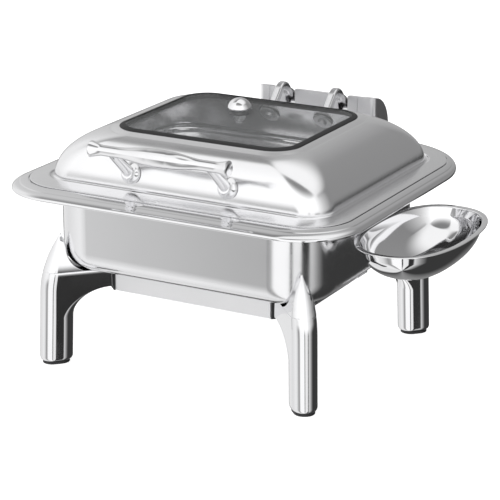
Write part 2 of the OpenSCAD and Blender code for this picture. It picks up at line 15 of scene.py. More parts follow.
import bmesh
import bpy
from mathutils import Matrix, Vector

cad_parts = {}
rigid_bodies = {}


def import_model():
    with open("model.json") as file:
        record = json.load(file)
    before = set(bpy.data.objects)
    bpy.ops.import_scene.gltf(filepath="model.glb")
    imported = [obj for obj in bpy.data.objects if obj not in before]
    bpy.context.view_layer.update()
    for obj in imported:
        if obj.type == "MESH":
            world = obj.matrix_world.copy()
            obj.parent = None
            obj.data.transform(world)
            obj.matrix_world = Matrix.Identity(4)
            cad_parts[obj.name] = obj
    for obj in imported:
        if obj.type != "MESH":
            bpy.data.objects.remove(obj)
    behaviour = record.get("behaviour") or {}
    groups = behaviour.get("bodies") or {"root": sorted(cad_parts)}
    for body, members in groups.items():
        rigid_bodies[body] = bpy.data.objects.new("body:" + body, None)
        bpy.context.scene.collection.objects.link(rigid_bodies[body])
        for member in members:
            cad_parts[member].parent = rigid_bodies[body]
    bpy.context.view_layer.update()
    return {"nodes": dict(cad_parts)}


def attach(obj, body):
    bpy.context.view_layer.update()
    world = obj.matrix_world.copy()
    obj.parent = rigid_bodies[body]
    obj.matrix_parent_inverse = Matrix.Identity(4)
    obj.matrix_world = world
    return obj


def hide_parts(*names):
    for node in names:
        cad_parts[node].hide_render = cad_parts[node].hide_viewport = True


for leftover in list(bpy.data.objects):
    bpy.data.objects.remove(leftover)
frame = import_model()

LOG = logging.getLogger("chafer")
MM = 0.001
MID = Vector((42.0, 23.3, 0.0))

RAIL_X = 126.0
RAIL_CUT = 24.0

Point = tuple[float, float, float]
Colour = tuple[float, ...]
Ring = list[Vector]


class Body(Enum):
    """The CAD bodies that the pieces ride on."""

    STAND = "stand"
    PAN = "pan"
    LID = "lid"


class Slot(Enum):
    """The record's material slots."""

    POLISHED = "polished_steel"
    SATIN = "satin_steel"
    RUBBER = "black_rubber"
    GLASS = "clear_glass"


class Grain(Enum):
    """The way the polishing or brushing marks run, as stretches of the noise along X, Y and Z."""

    ALONG_X = (0.03, 1.0, 1.0)
    ALONG_Y = (1.0, 0.03, 1.0)
    NONE = (1.0, 1.0, 1.0)


# ---- shader graph ----


@dataclass(eq=False)
class Wire:
    """A shader socket that does arithmetic: each operator adds one Math node."""

    graph: "Graph"
    socket: bpy.types.NodeSocket

    def math(self, operation: str, *values: "Wire | float") -> "Wire":
        """Adds a Math node.

        Args:
            operation: The Math node's operation.
            *values: Its inputs, in order.

        Returns:
            The node's result.
        """
        links = dict(enumerate(values))
        return self.graph.node("ShaderNodeMath", {"operation": operation}, links).out()

    def __add__(self, other: "Wire | float") -> "Wire":
        """Sum."""
        return self.math("ADD", self, other)

    def __radd__(self, other: float) -> "Wire":
        """Sum, with the number first."""
        return self.math("ADD", other, self)

    def __sub__(self, other: "Wire | float") -> "Wire":
        """Difference."""
        return self.math("SUBTRACT", self, other)

    def __rsub__(self, other: float) -> "Wire":
        """Difference, with the number first."""
        return self.math("SUBTRACT", other, self)

    def __mul__(self, other: "Wire | float") -> "Wire":
        """Product."""
        return self.math("MULTIPLY", self, other)

    def __rmul__(self, other: float) -> "Wire":
        """Product, with the number first."""
        return self.math("MULTIPLY", other, self)

    def __truediv__(self, other: "Wire | float") -> "Wire":
        """Quotient."""
        return self.math("DIVIDE", self, other)

    def __rtruediv__(self, other: float) -> "Wire":
        """Quotient, with the number first."""
        return self.math("DIVIDE", other, self)

    def sine(self) -> "Wire":
        """Sine of an angle in radians."""
        return self.math("SINE", self)

    def step(self, low: float, high: float) -> "Wire":
        """Smooth step from 0 at low to 1 at high.

        Args:
            low: The value that gives 0.
            high: The value that gives 1.

        Returns:
            The stepped value.
        """
        settings = {"interpolation_type": "SMOOTHSTEP"}
        inputs = {"Value": self, "From Min": low, "From Max": high}
        return self.graph.node("ShaderNodeMapRange", settings, inputs).out("Result")


@dataclass(eq=False)
class Made:
    """A node that was just added to a graph."""

    graph: "Graph"
    made: bpy.types.Node

    def out(self, name: str | int = 0) -> Wire:
        """One output of the node.

        Args:
            name: The output's name or number.

        Returns:
            The output as a wire.
        """
        return Wire(self.graph, self.made.outputs[name])


class Graph:
    """A node tree, with one way to add any node."""

    def __init__(self, tree: bpy.types.NodeTree) -> None:
        """Empties the tree.

        Args:
            tree: The tree to build in.
        """
        self.tree = tree
        tree.nodes.clear()

    def node(self, kind: str, settings: dict | None = None, inputs: dict | None = None) -> Made:
        """Adds a node, sets it up and joins its inputs.

        Args:
            kind: The node's type.
            settings: Its settings; "stops" is a colour ramp's list of (place, grey).
            inputs: Socket name or number to a value or a wire.

        Returns:
            The new node.
        """
        made = self.tree.nodes.new(kind)
        for key, value in (settings or {}).items():
            if key == "stops":
                self._stops(made.color_ramp, value)
            else:
                setattr(made, key, value)
        for key, value in (inputs or {}).items():
            if isinstance(value, Wire):
                self.tree.links.new(value.socket, made.inputs[key])
            else:
                made.inputs[key].default_value = value
        return Made(self, made)

    def mix(self, factor: Wire, first: Wire | Colour, second: Wire | Colour) -> Wire:
        """Mixes two colours.

        Args:
            factor: 0 for the first, 1 for the second.
            first: A colour with its alpha.
            second: A colour with its alpha.

        Returns:
            The mixed colour.
        """
        links = {"Factor": factor, 6: first, 7: second}
        return self.node("ShaderNodeMix", {"data_type": "RGBA"}, links).out(2)

    def noise(self, place: Wire, scale: float, detail: float) -> Wire:
        """Adds a noise texture.

        Args:
            place: Where it is looked up.
            scale: Its scale.
            detail: Its levels of detail.

        Returns:
            The noise, from 0 to 1.
        """
        links = {"Vector": place, "Scale": scale, "Detail": detail}
        return self.node("ShaderNodeTexNoise", {}, links).out()

    @staticmethod
    def _stops(ramp: bpy.types.ColorRamp, stops: Sequence[tuple[float, float]]) -> None:
        """Fills a colour ramp with greys.

        Args:
            ramp: The ramp.
            stops: Place and grey value of each stop, from 0 to 1 in order.
        """
        for index, (_, grey) in ((0, stops[0]), (1, stops[-1])):
            ramp.elements[index].color = (grey, grey, grey, 1.0)
        for place, grey in stops[1:-1]:
            ramp.elements.new(place).color = (grey, grey, grey, 1.0)


# ---- finishes ----


class Finish:
    """A finish, which makes its material once."""

    name: str

    def build(self) -> bpy.types.Material:
        """Makes the material.

        Returns:
            The material, or the one made before under the same name.
        """
        known = bpy.data.materials.get(self.name)
        if known:
            return known
        material = bpy.data.materials.new(self.name)
        material.use_nodes = True
        graph = Graph(material.node_tree)
        graph.node("ShaderNodeOutputMaterial", {}, {"Surface": self.shade(graph)})
        return material

    def shade(self, graph: Graph) -> Wire:
        """Adds the finish's own nodes.

        Args:
            graph: The material's graph.

        Returns:
            The shader.
        """
        raise NotImplementedError(self.name)


@dataclass(frozen=True)
class MetalFinish(Finish):
    """Bare metal with polishing marks, faint smudges and fine wear.

    Above polish_z, a height in metres, the roughness is polished instead.
    """

    name: str
    colour: Colour
    roughness: float
    grain: Grain = Grain.NONE
    mark_depth: float = 0.00002
    mark_scale: float = 900.0
    smudge: float = 0.04
    tint: float = 0.04
    polish_z: float = 0.0
    polished: float = 0.06
    polish_edge: float = 0.001
    smudge_scale: float = 14.0
    worn_shade: float = 0.9
    mark_strength: float = 0.25

    def shade(self, graph: Graph) -> Wire:
        """Adds the metal's nodes.

        Args:
            graph: The material's graph.

        Returns:
            The shader.
        """
        place = graph.node("ShaderNodeTexCoord").out("Object")
        stretch = {"Vector": place, "Scale": self.grain.value}
        marks = graph.noise(graph.node("ShaderNodeMapping", {}, stretch).out(), self.mark_scale, 4.0)
        worn = graph.noise(place, self.smudge_scale, 3.0).step(0.42, 0.68)
        colour = graph.mix(
            worn * self.tint * 4.0 + marks * self.tint,
            (*self.colour, 1.0),
            (*(c * self.worn_shade for c in self.colour), 1.0),
        )
        base: Wire | float = self.roughness
        if self.polish_z:
            height = graph.node("ShaderNodeSeparateXYZ", {}, {"Vector": place}).out("Z")
            rim = height.step(self.polish_z - self.polish_edge, self.polish_z + self.polish_edge)
            base = self.roughness - rim * (self.roughness - self.polished)
        roughness = (marks - 0.5) * (self.roughness * 0.5) + worn * self.smudge + base
        relief = {"Strength": self.mark_strength, "Distance": self.mark_depth, "Height": marks}
        inputs = {
            "Base Color": colour,
            "Roughness": roughness,
            "Metallic": 1.0,
            "Normal": graph.node("ShaderNodeBump", {}, relief).out(),
        }
        return graph.node("ShaderNodeBsdfPrincipled", {}, inputs).out()


@dataclass(frozen=True)
class RubberFinish(Finish):
    """Matt black rubber with a fine moulded texture and dusty patches."""

    name: str = "black_rubber_moulded"
    colour: Colour = (0.012, 0.012, 0.013)
    dusty: Colour = (0.04, 0.04, 0.042)
    roughness: float = 0.55
    pore_depth: float = 0.00008

    def shade(self, graph: Graph) -> Wire:
        """Adds the rubber's nodes.

        Args:
            graph: The material's graph.

        Returns:
            The shader.
        """
        place = graph.node("ShaderNodeTexCoord").out("Object")
        pores = graph.noise(place, 1800.0, 3.0)
        dust = graph.noise(place, 35.0, 2.0).step(0.45, 0.75)
        relief = {"Strength": 0.3, "Distance": self.pore_depth, "Height": pores}
        inputs = {
            "Base Color": graph.mix(dust * 0.3, (*self.colour, 1.0), (*self.dusty, 1.0)),
            "Roughness": self.roughness + dust * 0.15,
            "Normal": graph.node("ShaderNodeBump", {}, relief).out(),
        }
        return graph.node("ShaderNodeBsdfPrincipled", {}, inputs).out()


@dataclass(frozen=True)
class GlassFinish(Finish):
    """Clear window glass with a trace of grease."""

    name: str = "window_glass"
    colour: Colour = (0.62, 0.635, 0.64)
    alpha: float = 0.13

    def shade(self, graph: Graph) -> Wire:
        """Adds the glass's nodes.

        Args:
            graph: The material's graph.

        Returns:
            The shader.
        """
        place = graph.node("ShaderNodeTexCoord").out("Object")
        film = graph.noise(place, 9.0, 3.0).step(0.4, 0.7)
        inputs = {
            "Base Color": (*self.colour, 1.0),
            "Roughness": 0.02 + film * 0.05,
            "Alpha": self.alpha + film * 0.04,
            "IOR": 1.5,
            "Specular IOR Level": 1.0,
        }
        return graph.node("ShaderNodeBsdfPrincipled", {}, inputs).out()


@dataclass(frozen=True)
class FloorFinish(Finish):
    """Pale paint with a glow that keeps the floor even."""

    name: str = "floor_white"
    paint: float = 0.9
    glow: float = 0.75

    def shade(self, graph: Graph) -> Wire:
        """Adds the floor's nodes.

        Args:
            graph: The material's graph.

        Returns:
            The shader.
        """
        grey = (self.paint, self.paint, self.paint, 1.0)
        paint = graph.node("ShaderNodeBsdfDiffuse", {}, {"Color": grey}).out()
        light = {"Color": (1.0, 1.0, 1.0, 1.0), "Strength": self.glow}
        glow = graph.node("ShaderNodeEmission", {}, light).out()
        return graph.node("ShaderNodeAddShader", {}, {0: paint, 1: glow}).out()

MIRROR = MetalFinish("steel_mirror", (0.86, 0.86, 0.87), 0.035, smudge=0.03, mark_depth=0.000004)
LEG_MIRROR = MetalFinish("steel_mirror_legs", (0.84, 0.84, 0.85), 0.05, mark_depth=0.000005)
LID_POLISH = MetalFinish(
    "steel_lid_polish", (0.88, 0.88, 0.89), 0.16, Grain.ALONG_X, 0.000006, 700.0, 0.05
)
PAN_SATIN = MetalFinish(
    "steel_pan_satin", (0.84, 0.84, 0.85), 0.14, Grain.ALONG_X, 0.000008, 800.0, 0.04, 0.03, 0.2075
)
FOOD_PAN_SATIN = MetalFinish(
    "steel_food_pan", (0.84, 0.84, 0.85), 0.2, Grain.ALONG_X, 0.00001, 800.0
)
FRAME_ALONG = MetalFinish(
    "steel_frame_brushed_x", (0.92, 0.92, 0.93), 0.42, Grain.ALONG_X, 0.00001, 900.0
)
FRAME_ACROSS = MetalFinish(
    "steel_frame_brushed_y", (0.84, 0.84, 0.85), 0.27, Grain.ALONG_Y, 0.00001, 900.0
)
HINGE_SATIN = MetalFinish(
    "steel_hinge_satin", (0.92, 0.92, 0.93), 0.34, Grain.ALONG_X, 0.00001, 900.0, 0.04
)
ARM_SATIN = MetalFinish("steel_arm_satin", (0.74, 0.74, 0.75), 0.2, Grain.ALONG_Y, 0.00001)
FASTENER = MetalFinish("steel_fastener", (0.62, 0.62, 0.63), 0.28, mark_depth=0.00003)
SPRING = MetalFinish("spring_wire", (0.42, 0.42, 0.44), 0.34, Grain.ALONG_X, 0.00003)
BRONZE = MetalFinish("bearing_bronze", (0.62, 0.45, 0.22), 0.36, mark_depth=0.00003)
RUBBER = RubberFinish()
GLASS = GlassFinish()


# ---- mesh making ----


def vec(x: float, y: float, z: float) -> Vector:
    """A point in metres from millimetres.

    Args:
        x: Millimetres along X.
        y: Millimetres along Y.
        z: Millimetres along Z.

    Returns:
        The point.
    """
    return (Vector((x, y, z)) - MID) * MM


def skin(
    rings: Sequence[Ring], wrap: bool = False, into: bmesh.types.BMesh | None = None
) -> bmesh.types.BMesh:
    """Joins equal rings into one closed skin.

    Args:
        rings: Rings with the same number of points.
        wrap: Joins the last ring to the first; otherwise both end rings are capped.
        into: A mesh to add the skin to.

    Returns:
        The mesh with the skin in it.
    """
    mesh = into or bmesh.new()
    rows = [[mesh.verts.new(p) for p in ring] for ring in rings]
    count = len(rows[0])
    for i in range(len(rows) if wrap else len(rows) - 1):
        low, high = rows[i], rows[(i + 1) % len(rows)]
        for j in range(count):
            k = (j + 1) % count
            mesh.faces.new((low[j], low[k], high[k], high[j]))
    if not wrap:
        mesh.faces.new(rows[0][::-1])
        mesh.faces.new(rows[-1])
    return mesh


def piece(name: str, mesh: bmesh.types.BMesh, crease: float = 38.0) -> bpy.types.Object:
    """Turns a mesh into a smooth-shaded object.

    Args:
        name: The piece's name.
        mesh: Its mesh, which is used up.
        crease: Edges sharper than this many degrees stay sharp.

    Returns:
        The object, in the scene.
    """
    bmesh.ops.recalc_face_normals(mesh, faces=mesh.faces)
    data = bpy.data.meshes.new(name)
    mesh.to_mesh(data)
    mesh.free()
    for polygon in data.polygons:
        polygon.use_smooth = True
    data.set_sharp_from_angle(angle=math.radians(crease))
    made = bpy.data.objects.new(name, data)
    bpy.context.scene.collection.objects.link(made)
    flat = made.modifiers.new("true_flats", "WEIGHTED_NORMAL")
    flat.keep_sharp = True
    return made


def place(
    made: bpy.types.Object, body: Body, nodes: Sequence[str], slot: Slot, finish: Finish
) -> bpy.types.Object:
    """Puts a finish on a piece, lets it ride and stand for its CAD nodes.

    Args:
        made: The piece.
        body: The body it rides on.
        nodes: The CAD nodes it stands for.
        slot: Its material slot in the record; not used.
        finish: Its finish.

    Returns:
        The piece.
    """
    made.data.materials.append(finish.build())
    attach(made, body.value)
    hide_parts(*nodes)
    LOG.info("%s: %d vertices, finish %s", made.name, len(made.data.vertices), finish.name)
    return made


def dress(finish: Finish, *nodes: str) -> None:
    """Gives CAD nodes a finish.

    Args:
        finish: The finish.
        *nodes: The CAD nodes' names.
    """
    material = finish.build()
    for name in nodes:
        data = frame["nodes"][name].data
        for index in range(len(data.materials)):
            data.materials[index] = material
        LOG.info("%s: CAD node, finish %s", name, finish.name)


def glide(keys: Sequence[Sequence[float]], steps: int = 5) -> list[tuple[float, ...]]:
    """A smooth run of values through keys, which never leaves a pair of keys' own range.

    Args:
        keys: The values to pass through.
        steps: How many steps go between two keys.

    Returns:
        The run, with both end keys.
    """
    made = []
    last = len(keys) - 1
    for i in range(last):
        before, a, b, after = keys[max(i - 1, 0)], keys[i], keys[i + 1], keys[min(i + 2, last)]
        for k in range(steps):
            t = k / steps
            row = []
            for p, q, r, s in zip(before, a, b, after):
                bend, twist = 2 * p - 5 * q + 4 * r - s, 3 * q - p - 3 * r + s
                v = 0.5 * (2 * q + (r - p) * t + bend * t**2 + twist * t**3)
                row.append(min(max(v, min(q, r)), max(q, r)))
            made.append(tuple(row))
    return made + [tuple(keys[-1])]


def spin(
    profile: Sequence[tuple[float, float]],
    centre: Point,
    axis: Point,
    wrap: bool = False,
    count: int = 64,
    into: bmesh.types.BMesh | None = None,
) -> bmesh.types.BMesh:
    """Turns a profile round an axis.

    Args:
        profile: Radius and distance along the axis of each point.
        centre: The point that the distances start from.
        axis: The axis, a unit vector.
        wrap: Whether the profile is a closed loop, as on a ring.
        count: Points round the axis.
        into: A mesh to add to.

    Returns:
        The mesh.
    """
    along = Vector(axis).normalized()
    side = along.orthogonal().normalized()
    across = along.cross(side)
    rings = [
        [
            vec(*(Vector(centre) + along * h + (side * math.cos(a) + across * math.sin(a)) * r))
            for a in (2 * math.pi * k / count for k in range(count))
        ]
        for r, h in profile
    ]
    return skin(rings, wrap, into)


@dataclass(frozen=True)
class PlanRing:
    """A rounded rectangle at one height."""

    half_x: float
    front_y: float
    rear_y: float
    front_r: float
    rear_r: float
    z: float

    def values(self) -> tuple[float, ...]:
        """The six sizes in order."""
        return (self.half_x, self.front_y, self.rear_y, self.front_r, self.rear_r, self.z)

    def points(self, arc: int = 20) -> Ring:
        """The ring's points.

        Args:
            arc: Steps in each corner.

        Returns:
            Points anticlockwise from the right rear corner.
        """
        made = []
        for corner in range(4):
            radius = self.rear_r if corner < 2 else self.front_r
            cx = self.half_x - radius if corner in (0, 3) else radius - self.half_x
            cy = self.rear_y - radius if corner < 2 else self.front_y + radius
            for k in range(arc + 1):
                a = math.pi / 2 * (corner + k / arc)
                made.append(vec(cx + radius * math.cos(a), cy + radius * math.sin(a), self.z))
        return made


def glide_rings(keys: Sequence[PlanRing], steps: int = 5) -> list[PlanRing]:
    """A smooth run of rings through keys.

    Args:
        keys: The rings to pass through.
        steps: Steps between two keys.

    Returns:
        The rings.
    """
    return [PlanRing(*row) for row in glide([key.values() for key in keys], steps)]


# ---- sub-assemblies ----


@dataclass
class Pans:
    """The water pan with its rolled rim, and the food pan on the ledge inside it."""

    half_x: float = 174.0
    half_y: float = 148.0
    seat_z: float = 112.7
    fillet: float = 26.0
    sheet: float = 1.6
    rim_z: float = 210.0
    rim_half_x: float = 220.0
    rim_front: float = -194.0
    rim_rear: float = 232.0

    def body(self, out: float, radius: float, z: float) -> PlanRing:
        """A ring of the pan body.

        Args:
            out: Distance outside the wall.
            radius: Corner radius.
            z: Height.

        Returns:
            The ring.
        """
        reach = self.half_y + out
        return PlanRing(self.half_x + out, -reach, reach, radius, radius, z)

    def rim(self, s: float, lift: float) -> PlanRing:
        """A ring of the rim band.

        Args:
            s: 0 at the outer edge, 1 at the lid.
            lift: Height above the rim's base.

        Returns:
            The ring.
        """
        front, rear = self.rim_front + 24.8 * s, self.rim_rear - 37.4 * s
        radii = 74 - 19 * s, 130 - 60 * s
        return PlanRing(self.rim_half_x - 16 * s, front, rear, *radii, self.rim_z + lift)

    def bowl(self, radius: float, inner: float, base: float, count: int = 12) -> list[PlanRing]:
        """The rounded bottom edge of a pan.

        Args:
            radius: Radius of the round.
            inner: How far inside the outer wall the round ends.
            base: Height of the pan's underside.
            count: Steps in the round.

        Returns:
            Rings from the bottom up.
        """
        made = []
        for k in range(count + 1):
            a = math.pi / 2 * k / count
            out, up = radius * math.sin(a), radius * math.cos(a)
            made.append(self.body(out - inner, 32 + out, base + inner - up))
        return made

    def water_pan(self) -> bpy.types.Object:
        """Makes the water pan and its rim.

        Returns:
            The piece.
        """
        rings = self.bowl(self.fillet, self.fillet, self.seat_z)
        rings += [self.body(0, 58, self.rim_z - 4)]
        rings += glide_rings(
            [self.body(0, 58, 206), self.body(1.5, 58, 209.6), self.body(4.4, 58, 210.4)]
        )
        rings += [self.body(6, 58, 215), self.rim(0.98, 5.1), self.rim(0.5, 4.2)]
        rings += glide_rings(
            [
                self.rim(0.2, 2.4), self.rim(0.1, -0.4), self.rim(0.015, -0.8), self.rim(0, 0.8),
                self.rim(0.05, 2.6), self.rim(0.2, 4.6), self.rim(0.46, 6.0),
            ]
        )
        rings += glide_rings(
            [self.rim(0.5, 6.5), self.rim(0.73, 7.5), self.rim(0.945, 8.2), self.rim(0.985, 7.9)]
        )
        rings += [
            self.rim(1, 6.8), self.body(8.4, 60, 216.8), self.body(6.8, 59, 215.9),
            self.body(5.8, 58, 212.2), self.body(-0.4, 57, 212.2), self.body(-1.6, 56.4, 210.8),
        ]
        rings += self.bowl(self.fillet - self.sheet, self.fillet, self.seat_z)[::-1]
        return piece("water_pan_shell", skin([r.points() for r in rings]), 30.0)

    def food_pan(self) -> bpy.types.Object:
        """Makes the food pan.

        Returns:
            The piece.
        """
        base, rim = self.rim_z - 62, self.rim_z + 2.25

        def round_edge(radius: float) -> list[PlanRing]:
            """Rings of the bottom round, up to three quarters of it."""
            angles = [math.radians(67.5) * k / 8 for k in range(9)]
            arc = [(radius * math.sin(a), radius * math.cos(a)) for a in angles]
            return [self.body(out - 34, 28 + out, base + 20 - up) for out, up in arc]

        rings = round_edge(20.0)
        rings += [self.body(-13, 49, base + 24), self.body(-6, 54, self.rim_z - 3)]
        rings += [
            self.body(-4, 56, rim), self.body(4.9, 58, rim), self.body(5.2, 58, rim + 0.6),
            self.body(4.8, 58, rim + 1.3), self.body(-5, 55, rim + 1.3),
            self.body(-7.4, 53, self.rim_z - 2.6), self.body(-14.4, 48, base + 24),
        ]
        rings += round_edge(18.6)[::-1]
        return piece("food_pan_shell", skin([r.points() for r in rings]), 30.0)

    def build(self) -> None:
        """Makes and places both pans."""
        place(self.water_pan(), Body.PAN, ["water_pan"], Slot.SATIN, PAN_SATIN)
        place(self.food_pan(), Body.PAN, ["food_pan"], Slot.SATIN, FOOD_PAN_SATIN)


@dataclass
class Lid:
    """The domed lid, its gasket, its glass and the vent knob."""

    half_x: float = 203.5
    front: float = -168.4
    rear: float = 194.0
    base: float = 217.2
    rise: float = 53.5
    dome_angle: float = 72.0
    win_x: float = 118.4
    win_y: float = 104.0
    win_mid: float = 3.5
    glass_z: float = 290.0
    glass_rise: float = 12.4
    glass_t: float = 4.0
    sheet: float = 1.6

    @property
    def win_z(self) -> float:
        """Height of the window's edge."""
        return self.base + 2.8 + self.rise

    def flange(self, t: float, lift: float) -> PlanRing:
        """A ring of the flange.

        Args:
            t: 0 at the edge, 1 at the dome's foot.
            lift: Height above the base.

        Returns:
            The ring.
        """
        front, rear = self.front + 30.4 * t, self.rear - 32 * t
        return PlanRing(self.half_x - 25 * t, front, rear, 55 - 23 * t, 70 - 32 * t, self.base + lift)

    def dome(self, degrees: float, inside: float = 0.0) -> PlanRing:
        """A ring of the dome.

        Args:
            degrees: Angle up the dome.
            inside: Distance inside the outer skin.

        Returns:
            The ring.
        """
        a, top = math.radians(degrees), math.radians(self.dome_angle)
        f = (1 - math.cos(a)) / (1 - math.cos(top))
        h = math.sin(a) / math.sin(top)
        n = math.cos(a) * inside
        return PlanRing(
            178.5 - 52.1 * f - n,
            self.front + 30.4 + 29.5 * f + n,
            self.rear - 32 - 46.5 * (0.75 * f + 0.25 * h) - n,
            32 + 12 * f - n,
            38 + 6 * f - n,
            self.base + 2.8 + self.rise * h - math.sin(a) * inside,
        )

    def window(self, d: float, z: float) -> PlanRing:
        """A ring near the window.

        Args:
            d: Distance inside the gasket's outer edge.
            z: Height.

        Returns:
            The ring.
        """
        radius = 36 - 0.9 * d
        front, rear = self.win_mid - self.win_y + d, self.win_mid + self.win_y - d
        return PlanRing(self.win_x - d, front, rear, radius, radius, z)

    def shell(self) -> bpy.types.Object:
        """Makes the lid's sheet.

        Returns:
            The piece.
        """
        top = self.win_z
        steps = [self.dome_angle * k / 24 for k in range(25)]
        rings = glide_rings(
            [
                self.flange(0, 1.3), self.flange(0.03, 1.9), self.flange(0.28, 2.6),
                self.flange(0.54, 3.2), self.flange(0.76, 3.7), self.flange(0.81, 3.2),
                self.flange(0.86, 2.1), self.flange(0.94, 1.8), self.dome(0),
            ]
        )[:-1]
        rings += [self.dome(a) for a in steps]
        rings += glide_rings(
            [self.dome(self.dome_angle), self.window(-7, top + 0.1), self.window(0, top + 2),
             self.window(5, top + 2.9)], 4
        )[1:]
        rings += [self.window(5, top + 1.4), self.window(0, top + 0.4), self.window(-7, top - 1.4)]
        rings += [self.dome(a, self.sheet) for a in steps[::-1]]
        rings += [
            self.flange(0.96, 0.3), self.flange(0.84, 0.5), self.flange(0.78, 1.7),
            self.flange(0.54, 1.6), self.flange(0.28, 1.0), self.flange(0.05, 0.05),
            self.flange(0.005, 0.1),
        ]
        return piece("lid_dome", skin([r.points() for r in rings], wrap=True), 32.0)

    def gasket(self) -> bpy.types.Object:
        """Makes the rubber channel round the glass.

        Returns:
            The piece.
        """
        z = self.win_z + 2
        rings = glide_rings(
            [self.window(3.0, z + 0.5), self.window(3.3, z + 1.3), self.window(4.4, z + 2.0),
             self.window(7.0, z + 2.8), self.window(9.2, z + 3.1)], 3
        )
        rings += [
            self.window(9.2, z + 2.6), self.window(7.65, z + 2.1), self.window(7.65, z - 2.1),
            self.window(9, z - 2.2), self.window(9, z - 3.2), self.window(2.5, z - 3.2),
            self.window(2.5, z - 1.5), self.window(5.1, z - 0.8), self.window(5.1, z + 0.9),
        ]
        return piece("window_gasket_ring", skin([r.points() for r in rings], wrap=True))

    def pane(self, s: float, down: float) -> PlanRing:
        """A ring of the glass.

        Args:
            s: Scale, 1 at the edge.
            down: Distance below the top face.

        Returns:
            The ring.
        """
        x, y = (self.win_x - 7.65) * s, (self.win_y - 7.65) * s
        z = self.glass_z - self.glass_rise * s**2.2 - down
        return PlanRing(x, self.win_mid - y, self.win_mid + y, 29.3 * s, 29.3 * s, z)

    def glass(self) -> bpy.types.Object:
        """Makes the domed pane with its hole under the knob.

        Returns:
            The piece.
        """
        scales = [0.05 + 0.95 * k / 18 for k in range(19)]
        rings = [self.pane(s, self.glass_t) for s in scales]
        rings += [self.pane(s, 0.0) for s in scales[::-1]]
        return piece("glass_pane", skin([r.points(12) for r in rings], wrap=True))

    def knob(self) -> bpy.types.Object:
        """Makes the polished vent knob and its stem.

        Returns:
            The piece.
        """
        z = self.glass_z - self.glass_rise * 0.2**2.2
        profile = [(4.0, -16.0), (4.0, 0.6), (13.0, 0.6), (13.8, 0.9), (14.0, 1.4)]
        profile += [
            (14 * math.cos(a), 1.4 + 12.6 * math.sin(a))
            for a in (math.radians(6 * k) for k in range(1, 15))
        ]
        profile.append((0.3, 14.0))
        mesh = spin(profile, (0, self.win_mid, z), (0, 0, 1))
        return piece("vent_knob", mesh)

    def build(self) -> None:
        """Makes and places the lid's pieces."""
        place(self.shell(), Body.LID, ["lid_shell"], Slot.POLISHED, LID_POLISH)
        place(self.gasket(), Body.LID, ["window_gasket"], Slot.RUBBER, RUBBER)
        place(self.glass(), Body.LID, ["glass_window"], Slot.GLASS, GLASS)
        place(self.knob(), Body.LID, ["vent_cap"], Slot.POLISHED, MIRROR)
        dress(RUBBER, "vent_washer")
        dress(FASTENER, "vent_nut")


@dataclass
class Handle:
    """The flared handle bar and its two posts."""

    length: float = 174.0
    radius: float = 10.4
    post_x: float = 62.0
    wall: tuple[float, float] = (-135.6, 239.5)
    tilt: float = 74.3
    bar: tuple[float, float] = (-178.0, 275.0)

    def width(self, x: float) -> float:
        """The bar's radius at a distance from its middle.

        Args:
            x: The distance.

        Returns:
            The radius.
        """
        if x < 12:
            return self.radius - 0.4 * (x / 12) ** 2
        if x < 54:
            return self.radius - 0.4 - 3.9 * math.sin(math.pi / 2 * (x - 12) / 42) ** 2
        if x < 72:
            return self.radius - 4.3
        return self.radius - 4.3 + 3.6 * ((x - 72) / (self.length / 2 - 72)) ** 1.5

    def grip(self) -> bpy.types.Object:
        """Makes the bar.

        Returns:
            The piece.
        """
        half = self.length / 2
        last, gap = half - 1.0, 1.25
        places = [last - gap * k for k in range(int(2 * last / gap) + 1)]
        tip = self.width(half)
        end = [
            (0.2, half + 1.4), (tip - 3.2, half + 1.1), (tip - 1.4, half + 0.5),
            (tip - 0.4, half - 0.4),
        ]
        profile = end + [(self.width(abs(x)), x) for x in places]
        profile += [(r, -h) for r, h in end[::-1]]
        return piece("handle_grip", spin(profile, (0, *self.bar), (1, 0, 0)))

    def post(self, x: float) -> bpy.types.Object:
        """Makes one post: a wide foot on the lid, then a stem up to the bar.

        Args:
            x: Its place along the bar.

        Returns:
            The piece.
        """
        a = math.radians(self.tilt)
        out = Vector((0, -math.sin(a), math.cos(a)))
        wall = Vector((x, *self.wall))
        bar = Vector((x, *self.bar))
        foot = [
            (12.3, 0.3), (12.5, 0.8), (12.1, 1.8), (11.2, 3.2), (10.2, 4.2), (8.6, 5.6), (7.4, 7.4),
            (6.4, 9.6),
        ]
        mesh = spin(foot, wall, out)
        start = wall + out * 2.5
        stem = bar - start
        taper = [(6.9, 0.0), (6.5, 9.0), (6.0, 22.0), (5.3, stem.length)]
        spin(taper, start, stem.normalized(), into=mesh)
        side = "left" if x < 0 else "right"
        return piece(f"handle_stem_{side}", mesh)

    def build(self) -> None:
        """Makes and places the handle's pieces."""
        place(self.grip(), Body.LID, ["handle_bar"], Slot.POLISHED, MIRROR)
        for x, node in ((-self.post_x, "handle_post_left"), (self.post_x, "handle_post_right")):
            place(self.post(x), Body.LID, [node], Slot.POLISHED, MIRROR)
        dress(FASTENER, "handle_screws", "handle_washers")


